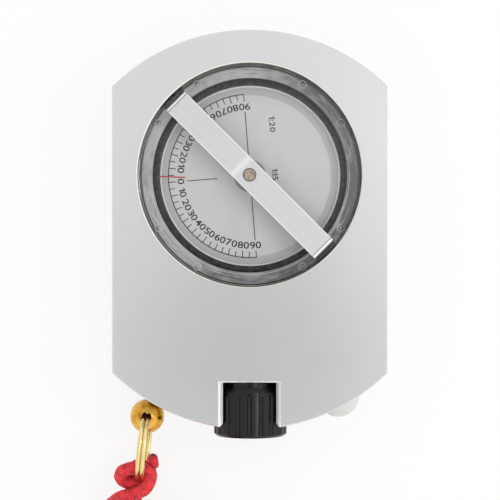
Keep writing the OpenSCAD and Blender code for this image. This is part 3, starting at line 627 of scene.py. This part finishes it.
def nearDimple(tree, place, s):  # distance from the nearest dimple's middle, in metres
    turn = turnAbout(tree, place)
    for operation, value in (("ADD", 2 * math.pi), ("MODULO", math.pi / 2), ("SUBTRACT", math.pi / 4),
                             ("ABSOLUTE", 0), ("SUBTRACT", math.radians(s["dimpleOffset"]))):
        turn = addNode(tree, "Math", {"operation": operation, 1: value}, {0: turn}).outputs[0]
    ring = s["dimpleRing"] * mm
    side = addNode(tree, "Math", {"operation": "MULTIPLY", 1: ring}, {0: turn}).outputs[0]
    away = addNode(tree, "Math", {"operation": "SUBTRACT", 1: ring}, {0: radiusFrom(tree, place)}).outputs[0]
    centre = addNode(tree, "CombineXYZ", links={0: side, 1: away}).outputs[0]
    return addNode(tree, "VectorMath", {"operation": "LENGTH"}, {0: centre}).outputs["Value"]


def clearAcrylic(s):
    # cast acrylic, cemented and polished: clear, with faint waves that break up what shows through,
    # and eight moulded dimples in its rim that stayed frosted. Its inner face is wet with liquid, so
    # its IOR is a little below that of acrylic in air
    material, tree, shader, place = newMaterial(
        "clearAcrylic", IOR=1.43, Roughness=s["clearness"], Transmission_Weight=1.0)
    frost = addNode(tree, "MapRange", {1: s["dimpleReach"] * mm, 2: s["dimpleFloor"] * mm},
                    {0: nearDimple(tree, place, s)}).outputs[0]
    rough = addNode(tree, "MapRange", {3: s["clearness"], 4: s["frost"]}, {0: frost}).outputs[0]
    tree.links.new(rough, shader.inputs["Roughness"])
    colour, _ = mottle(tree, place, s["wave"], s["tones"], detail=2.0)
    finishSurface(tree, shader, colour, relief=(frost, *s["relief"]))
    passLight(tree, shader, s["film"])
    return material


glassSet = {"tones": ("#F2F8F6", "#FCFEFE"), "cloud": 5.0, "film": "#FCFDFD"}


def opticalGlass(s):
    # ground and polished crown glass: clear, with a sharp gloss
    material, tree, shader, place = newMaterial(
        "opticalGlass", Roughness=0.0, IOR=1.52, Transmission_Weight=1.0)
    colour, _ = mottle(tree, place, s["cloud"], s["tones"], detail=2.0)
    finishSurface(tree, shader, colour)
    passLight(tree, shader, s["film"])
    return material


rubberSet = {
    "inside": ("#27292C", "#43464A"), "outside": ("#1F1C18", "#37342F"),
    "ground": (18.0, farAway, 0.12),  # mm from the axis, and how softly it begins
    "bloom": 0.667, "relief": (0.03, 0.5),  # mm
    "spread": (0.35, 0.65),  # of the noise, from one tone to the other
}


def mouldedRubber(s):
    # moulded nitrile rubber: matt dark grey with a fine bloom, browner where it was ground outside
    material, tree, shader, place = newMaterial("mouldedRubber", Roughness=0.7)
    inside, bloom = mottle(tree, place, s["bloom"], s["inside"], spread=s["spread"])
    outside, _ = mottle(tree, place, s["bloom"], s["outside"], spread=s["spread"])
    ground = between(tree, radiusFrom(tree, place), *s["ground"])
    both = addNode(tree, "Mix", {"data_type": "RGBA"}, {0: ground, 6: inside, 7: outside}).outputs[2]
    finishSurface(tree, shader, both, relief=(bloom, *s["relief"]))
    return material


cementSet = {
    # its section, by radius and height in mm, in the joint of case and cover
    "section": [(18.72, 11.784), (21.05, 11.784), (21.05, 11.796), (18.72, 11.796)],
    "darker": "#6A6B6E", "paler": "#C6C7CA",
    "light": (18.0, 18.95, 0.1, "#DDDCD8"),  # mm from the axis: cement that was squeezed out inside
    "dark": (20.62, farAway, 0.1, "#332E2C"),  # the joint's shaded edge outside
    "streakLong": 2.851, "streakWide": 0.3846, "cloud": 9.09,  # mm
    "palerWay": (-13, 6, 0),  # paler this way, as painted light
    "dimpleHighlightReach": 0.8, "dimpleHighlightSoft": 0.25, "dimpleHighlightGain": 0.24,  # paler under each dimple, as a painted highlight of the dimple: mm, and how much
    "levels": (0.72, 1.3),  # of all these together, from the darker tone to the paler
    "relief": (0.02, 0.3),
}


def solventCement(s):
    # acrylic cement pressed out between two faces: grey, with flow streaks round the ring, painted light
    # towards one side and a painted highlight under each dimple
    material, tree, shader, place = newMaterial("solventCement", Roughness=0.35, Metallic=0.4)
    radius = radiusFrom(tree, place)
    run = addNode(tree, "Math", {"operation": "MULTIPLY", 1: capsuleSet["dimpleRing"] / s["streakLong"]},
                  {0: turnAbout(tree, place)}).outputs[0]
    step = addNode(tree, "Math", {"operation": "MULTIPLY", 1: patternScale(s["streakWide"])},
                   {0: radius}).outputs[0]
    polarPlace = addNode(tree, "CombineXYZ", links={0: run, 1: step}).outputs[0]
    streaks = addNode(tree, "TexNoise", {"Scale": 1.0, "Detail": 2.0}, {"Vector": polarPlace}).outputs[0]
    clouds = addNode(tree, "TexNoise", {"Scale": patternScale(s["cloud"]), "Detail": 2.0},
                     {"Vector": place}).outputs[0]
    # painted light: the cement grows paler towards one side
    paler = addNode(tree, "VectorMath", {"operation": "DOT_PRODUCT", 1: s["palerWay"]},
                   {0: place}).outputs["Value"]
    # painted highlight: paler under each dimple
    dimpleHighlight = between(tree, nearDimple(tree, place, capsuleSet), -farAway, s["dimpleHighlightReach"], s["dimpleHighlightSoft"])
    dimpleHighlight = addNode(tree, "Math", {"operation": "MULTIPLY", 1: s["dimpleHighlightGain"]}, {0: dimpleHighlight}).outputs[0]
    total = streaks
    for part in (clouds, paler, dimpleHighlight):
        total = addNode(tree, "Math", {"operation": "ADD"}, {0: total, 1: part}).outputs[0]
    level = addNode(tree, "MapRange", {1: s["levels"][0], 2: s["levels"][1]}, {0: total}).outputs[0]
    grey = addNode(tree, "Mix", {"data_type": "RGBA", 6: s["darker"], 7: s["paler"]}, {0: level}).outputs[2]
    for first, last, soft, colour in (s["light"], s["dark"]):
        grey = layOver(tree, grey, (between(tree, radius, first, last, soft), colour))
    finishSurface(tree, shader, grey, relief=(streaks, *s["relief"]))
    return material


newPiece("rimCement", turnedRing(cementSet["section"]), solventCement(cementSet), "block",
         smooth=False)
dress(clearAcrylic(capsuleSet), "capsule_case", "capsule_cover")
dress(mouldedRubber(rubberSet), "capsule_seal", "capsule_pad", "friction_ring")
dress(opticalGlass(glassSet), "eyepiece_lens", "hairline_plate")


# Dial: satin silver paint and black print.

dialSet = {
    "turn": 4.5,  # degrees that the dial stands from its index
    "face": 10.35,  # mm, the top of the dial's face
    "ink": 0.012, "inkGap": 0.001,  # mm, the print's thickness and what keeps it off the face
    "arc": 15.67, "major": 1.36, "minor": 1.1, "line": 0.17,
    "numberAt": 13.3, "numberHigh": 1.3, "numberWide": 1.27, "figureGap": 0.07,
    "weight": 0.012, "curveSteps": 4,  # what is added to the strokes, and how finely they curve
    "flag": [(0.02, 0), (-0.14, -0.16), (-0.14, -0.25), (0.02, -0.13)],  # of the 1, from its top left
    "ratios": [("1:20", 4.25, 9.8), ("1:15", 4.8, 0.15)], "ratioHigh": 1.1, "ratioGap": 0.15,
    "rays": [(4.0, 12.4), (6.3, 12.05), (4.0, 12.4)],  # mm from the axis, a quarter turn apart
    "drumRadius": 17.3, "drumSunk": 0.02, "drumMiddle": 7.8,  # mm: the edge scale and its root
    "drumTicks": (1.2, 2.4), "drumLine": 0.12,
    "bead": [(16.92, 10.352), (17.06, 10.41), (17.12, 10.425), (17.24, 10.425), (17.28, 10.39),
             (17.28, 10.352)],  # round the face, by radius and height in mm; its white is a painted highlight of the face's edge
}
paintSet = {
    "tones": ("#CFCFD1", "#D7D7D9"), "fleck": 0.25, "relief": (0.01, 0.3),  # mm
    "band": (15.45, farAway, 0.06), "bandTone": "#BCBCBD",  # mm from the axis: darker outside, as painted shade from the capsule's rim and seal
}


def satinPaint(s):
    # silk-screened silver-grey ground on thin metal: smooth satin, hardly any sparkle
    material, tree, shader, place = newMaterial("screenedSilverGround", Roughness=0.5, Metallic=0.15)
    ground, fleck = mottle(tree, place, s["fleck"], s["tones"], detail=2.0)
    # painted shade on the face's outer band
    band = between(tree, radiusFrom(tree, place), *s["band"])
    ground = layOver(tree, ground, (band, s["bandTone"]))
    finishSurface(tree, shader, ground, relief=(fleck, *s["relief"]))
    return material


def printInk(name, low, high):
    # screen ink or enamel: nearly matt, a little uneven in density, in patches of 0.4 mm
    material, tree, shader, place = newMaterial(name, Roughness=0.6)
    finishSurface(tree, shader, mottle(tree, place, 0.4, (low, high), detail=2.0)[0])
    return material


def addPrism(bm, outline, low, high):  # a thin closed slab over a flat outline, all in mm
    bottom = [bm.verts.new((x * mm, y * mm, low * mm)) for x, y in outline]
    top = [bm.verts.new((x * mm, y * mm, high * mm)) for x, y in outline]
    bm.faces.new(bottom[::-1])
    bm.faces.new(top)
    for k in range(len(outline)):
        n = (k + 1) % len(outline)
        bm.faces.new((bottom[k], bottom[n], top[n], top[k]))


def polar(radius, angle, shift=0.0):  # a point at a radius, moved sideways by shift
    a = math.radians(angle)
    return (radius * math.cos(a) - shift * math.sin(a), radius * math.sin(a) + shift * math.cos(a))


def addRay(bm, angle, start, end, width, low, high):  # a straight line of ink that points at the axis
    half = width / 2
    addPrism(bm, [polar(start, angle, -half), polar(end, angle, -half), polar(end, angle, half),
                  polar(start, angle, half)], low, high)


def figureShape(letter, s):  # one figure of the built-in face, its left edge at 0
    data = bpy.data.curves.new("figure", "FONT")
    data.body, data.size, data.offset, data.resolution_u = letter, 1.0, s["weight"], s["curveSteps"]
    holder = bpy.data.objects.new("figure", data)
    scene.collection.objects.link(holder)
    shape = holder.to_mesh()
    left = min(v.co.x for v in shape.vertices)
    points = [(v.co.x - left, v.co.y) for v in shape.vertices]
    faces = [list(face.vertices) for face in shape.polygons]
    holder.to_mesh_clear()
    bpy.data.objects.remove(holder)
    bpy.data.curves.remove(data)
    wide = max(x for x, y in points)
    if letter == "1":  # a small flag, which this face leaves out
        top, n = max(y for x, y in points), len(points)
        points += [(x, top + y) for x, y in s["flag"]]
        faces.append([n, n + 1, n + 2, n + 3])
    return points, faces, wide


figures = {letter: figureShape(letter, dialSet) for letter in "0123456789:"}
figureLow = min(y for x, y in figures["0"][0])
figureHigh = max(y for x, y in figures["0"][0]) - figureLow


def addFigures(bm, text, centre, angle, high, space, s, low, top):  # a number, figure by figure
    scale, a = high / figureHigh, math.radians(angle)
    gap = space / s["numberWide"] / scale
    at = -(sum(figures[letter][2] for letter in text) + gap * (len(text) - 1)) / 2
    middle = figureLow + figureHigh / 2
    for letter in text:
        points, faces, wide = figures[letter]
        made = []
        for level in (low, top):
            row = []
            for px, py in points:
                x, y = (at + px) * scale * s["numberWide"], (py - middle) * scale
                row.append(bm.verts.new(((centre[0] + x * math.cos(a) - y * math.sin(a)) * mm,
                                         (centre[1] + x * math.sin(a) + y * math.cos(a)) * mm, level * mm)))
            made.append(row)
        bottom, face = made
        ways = {}
        for corner in faces:
            bm.faces.new([face[k] for k in corner])
            bm.faces.new([bottom[k] for k in corner[::-1]])
            for one, two in zip(corner, corner[1:] + corner[:1]):
                ways.setdefault(tuple(sorted((one, two))), []).append((one, two))
        for found in ways.values():
            if len(found) == 1:  # an edge of the figure's outline
                one, two = found[0]
                bm.faces.new((bottom[one], bottom[two], face[two], face[one]))
        at += wide + gap


def makeDialPrint(s):
    bm = bmesh.new()
    low, high = s["face"] + s["inkGap"], s["face"] + s["ink"]
    start, steps = 90 + s["turn"], 90
    outer = [polar(s["arc"] + s["line"] / 2, start + 180 * k / steps) for k in range(steps + 1)]
    inner = [polar(s["arc"] - s["line"] / 2, start + 180 * k / steps) for k in range(steps + 1)]
    for k in range(steps):
        addPrism(bm, [outer[k], outer[k + 1], inner[k + 1], inner[k]], low, high)
    for k in range(37):  # a tick every 5 degrees of the half turn
        length = s["minor"] if k % 2 else s["major"]
        addRay(bm, start + 5 * k, s["arc"] - length, s["arc"], s["line"], low, high + s["inkGap"])
    for k, (first, last) in enumerate(s["rays"]):
        addRay(bm, start + 90 * k, first, last, s["line"], low, high)
    for k in range(19):  # a number every 10 degrees, from 90 down to 0 and up again
        angle = start + 10 * k
        addFigures(bm, str(abs(90 - 10 * k)), polar(s["numberAt"], angle), angle + 90, s["numberHigh"],
                   s["figureGap"], s, low, high)
    for text, x, y in s["ratios"]:
        addFigures(bm, text, (x, y), s["turn"] - 90, s["ratioHigh"], s["ratioGap"], s, low, high)
    for k in range(180):  # the scale on the rim, which the eyepiece reads
        half = s["drumTicks"][0 if k % 5 else 1] / 2
        addRay(bm, 2 * k + s["turn"], s["drumRadius"] - s["drumSunk"], s["drumRadius"] + s["ink"],
               s["drumLine"], s["drumMiddle"] - half, s["drumMiddle"] + half)
    return bm


indexSet = {
    "from": 17.35, "to": 12.3, "width": 0.24, "shift": -0.24, "low": 11.74, "high": 11.77,  # mm
    "tilt": 2.2,  # degrees
}


def makeIndex(s):  # the red reading mark in the capsule
    bm = bmesh.new()
    half = s["width"] / 2
    rise = (s["from"] - s["to"]) * math.tan(math.radians(s["tilt"])) / 2
    first, last = s["shift"] + rise, s["shift"] - rise
    addPrism(bm, [(-s["from"], first + half), (-s["from"], first - half), (-s["to"], last - half),
                  (-s["to"], last + half)], s["low"], s["high"])
    return bm


dress(satinPaint(paintSet), "dial_face", "dial_drum")
newPiece("dialPrint", makeDialPrint(dialSet), printInk("screenInkBlack", "#08080A", "#151517"), "dial",
         smooth=False)
# the bead's white is a painted highlight of the dial face's edge
newPiece("dialRim", turnedRing(dialSet["bead"]), printInk("rimEnamelWhite", "#EAEAEA", "#F6F6F6"), "dial")
newPiece("readingIndex", makeIndex(indexSet), printInk("screenInkRed", "#A81822", "#B8242E"), "block",
         smooth=False)
print("dial printed")


# Small metal and plastic pieces.

ringSet = {
    "middle": (-20.568, -52.129, 7.75), "lean": 6,  # mm, and degrees between its plane and the block's length
    "radius": 6.25, "wire": 0.86, "gap": 0.01,
    "crossing": 216, "crossingLength": 26,  # degrees round it, where the wire steps across: behind the ball
    "endTaper": 0.8, "endLength": 0.06,  # how the cut ends are eased
    "stepsPerTurn": 120, "sides": 20,
}


def makeSplitRing(s):  # two turns of wire side by side, sprung together, their ends cut at the step
    bm = bmesh.new()
    lean, half = math.radians(s["lean"]), (s["wire"] + s["gap"]) / 2
    out, across = Vector((-math.sin(lean), -math.cos(lean), 0)), Vector((math.cos(lean), -math.sin(lean), 0))
    start = s["crossing"] + s["crossingLength"]
    total = 720 - s["crossingLength"]
    count = round(total / 360 * s["stepsPerTurn"])
    rings = []
    for k in range(-1, count + 2):
        a = start + total * min(max(k, 0), count) / count
        share = min(1, max(0, (a - s["crossing"] - 360) / s["crossingLength"]))
        shift = half * (2 * share * share * (3 - 2 * share) - 1)
        turn = math.radians(a)
        outward = out * math.cos(turn) + Vector((0, 0, math.sin(turn)))
        ahead = Vector((0, 0, math.cos(turn))) - out * math.sin(turn)
        centre = Vector(s["middle"]) + outward * s["radius"] + across * shift
        radius = s["wire"] / 2
        if k < 0 or k > count:  # the cut ends
            radius *= s["endTaper"]
            centre += ahead * (s["endLength"] if k > count else -s["endLength"])
        rings.append([bm.verts.new((centre + radius * (outward * math.cos(b) + across * math.sin(b))) * mm)
                      for b in (2 * math.pi * j / s["sides"] for j in range(s["sides"]))])
    joinRings(bm, rings)
    bm.faces.new(rings[0])
    bm.faces.new(rings[-1][::-1])
    return bm


metalSet = {
    "tone": 2.0, "mark": 0.1,  # mm, the marks coarser than real ones, so that they show
    "spread": (0.8, 1.2),  # of the roughness
    "relief": (0.005, 0.3),
}


def turnedMetal(name, low, high, roughness, s=metalSet):
    # turned or drawn, then polished: gloss with faint uneven tones and tool marks
    material, tree, shader, place = newMaterial(name, Metallic=1.0)
    colour, _ = mottle(tree, place, s["tone"], (low, high))
    marks = addNode(tree, "TexNoise", {"Scale": patternScale(s["mark"]), "Detail": 2.0},
                    {"Vector": place}).outputs[0]
    finishSurface(tree, shader, colour, (marks, *(roughness * share for share in s["spread"])),
                  (marks, *s["relief"]))
    return material


ballSet = {
    "tones": ("#B87A16", "#F0C05A"), "patch": 2.38, "spread": (0.35, 0.65),  # mm
    "roughness": (0.2, 0.32), "relief": (0.04, 0.25),
    # round spots by their middle, reach and softness in mm: the dark joint at the block's end, the hole
    "spots": [((0, -11.05), 37.85, 0.12, "#3A2110"), ((-19.958, -46.325), 1.14, 0.05, "#D9A04C")],
}


def lacqueredBrass(s):
    # turned brass, lacquered: warm gold with a soft sheen, dark where it meets the block
    material, tree, shader, place = newMaterial("lacqueredBrass", Metallic=1.0)
    gold, tone = mottle(tree, place, s["patch"], s["tones"], spread=s["spread"])
    for middle, reach, soft, colour in s["spots"]:
        away = radiusFrom(tree, place, [v * mm for v in (*middle, 0)])
        gold = layOver(tree, gold, (between(tree, away, -farAway, reach, soft), colour))
    finishSurface(tree, shader, gold, (tone, *s["roughness"]), (tone, *s["relief"]))
    return material


pinSet = {
    "tones": ("#8C8070", "#BAADA0"), "patch": 0.588, "spread": (0.35, 0.65), "relief": (0.02, 0.5),
    "rim": (1.06, farAway, 0.2), "rimTone": "#897E74",  # mm from its axis: darker round the edge, as painted shade of its chamfer
}


def facedBronze(s):
    # faced bronze, a little tarnished: mottled brown-grey, with painted shade round its edge
    material, tree, shader, place = newMaterial("facedBronze", Metallic=1.0, Roughness=0.42)
    face, pattern = mottle(tree, place, s["patch"], s["tones"], detail=2.0, spread=s["spread"])
    # painted shade round the edge
    rim = between(tree, radiusFrom(tree, place), *s["rim"])
    finishSurface(tree, shader, layOver(tree, face, (rim, s["rimTone"])), relief=(pattern, *s["relief"]))
    return material


plasticSet = {
    "cloud": 3.33, "grain": 0.2,  # mm, the spark-eroded grain coarser than real, so that it shows
    "spread": (-0.05, 0.05),  # about the roughness
    "relief": (0.015, 0.4),
}


def mouldedPlastic(name, low, high, roughness, s=plasticSet, **values):
    # injection-moulded: an even satin skin with faint clouds and a very fine grain. Polished ruby
    # has such an even skin too
    material, tree, shader, place = newMaterial(name, **values)
    colour, _ = mottle(tree, place, s["cloud"], (low, high))
    grain = addNode(tree, "TexNoise", {"Scale": patternScale(s["grain"]), "Detail": 2.0},
                    {"Vector": place}).outputs[0]
    finishSurface(tree, shader, colour, (grain, *(roughness + more for more in s["spread"])),
                  (grain, *s["relief"]))
    return material


newPiece("splitRing", makeSplitRing(ringSet), turnedMetal("drawnBrassWire", "#E4CC86", "#F3E3AC", 0.2),
         "lanyard", ["lanyard_ring"])
dress(lacqueredBrass(ballSet), "lanyard_eye")
dress(turnedMetal("turnedBrass", "#B98C3A", "#CDA24E", 0.3), "rear_jewel_seat", "focus_sleeve",
      "balance_weight")
dress(turnedMetal("groundSteel", "#A4A6AA", "#B8BABD", 0.25), "pivot_pin")
dress(facedBronze(pinSet), "bearing_post")
dress(mouldedPlastic("mouldedAcetalBlack", "#0B0B0C", "#161617", 0.17, Specular_IOR_Level=0.32),
      "eyepiece_barrel", "field_stop", "lens_retainer")
dress(mouldedPlastic("syntheticRuby", "#8E1230", "#B81D44", 0.12, IOR=1.77), "rear_jewel", "front_jewel")
dress(mouldedPlastic("mouldedNylonMilky", "#D0CFCA", "#D9D8D4", 0.4, Subsurface_Weight=0.2,
                     Subsurface_Scale=0.002), "end_plug", "filler_plug")
print("materials done")
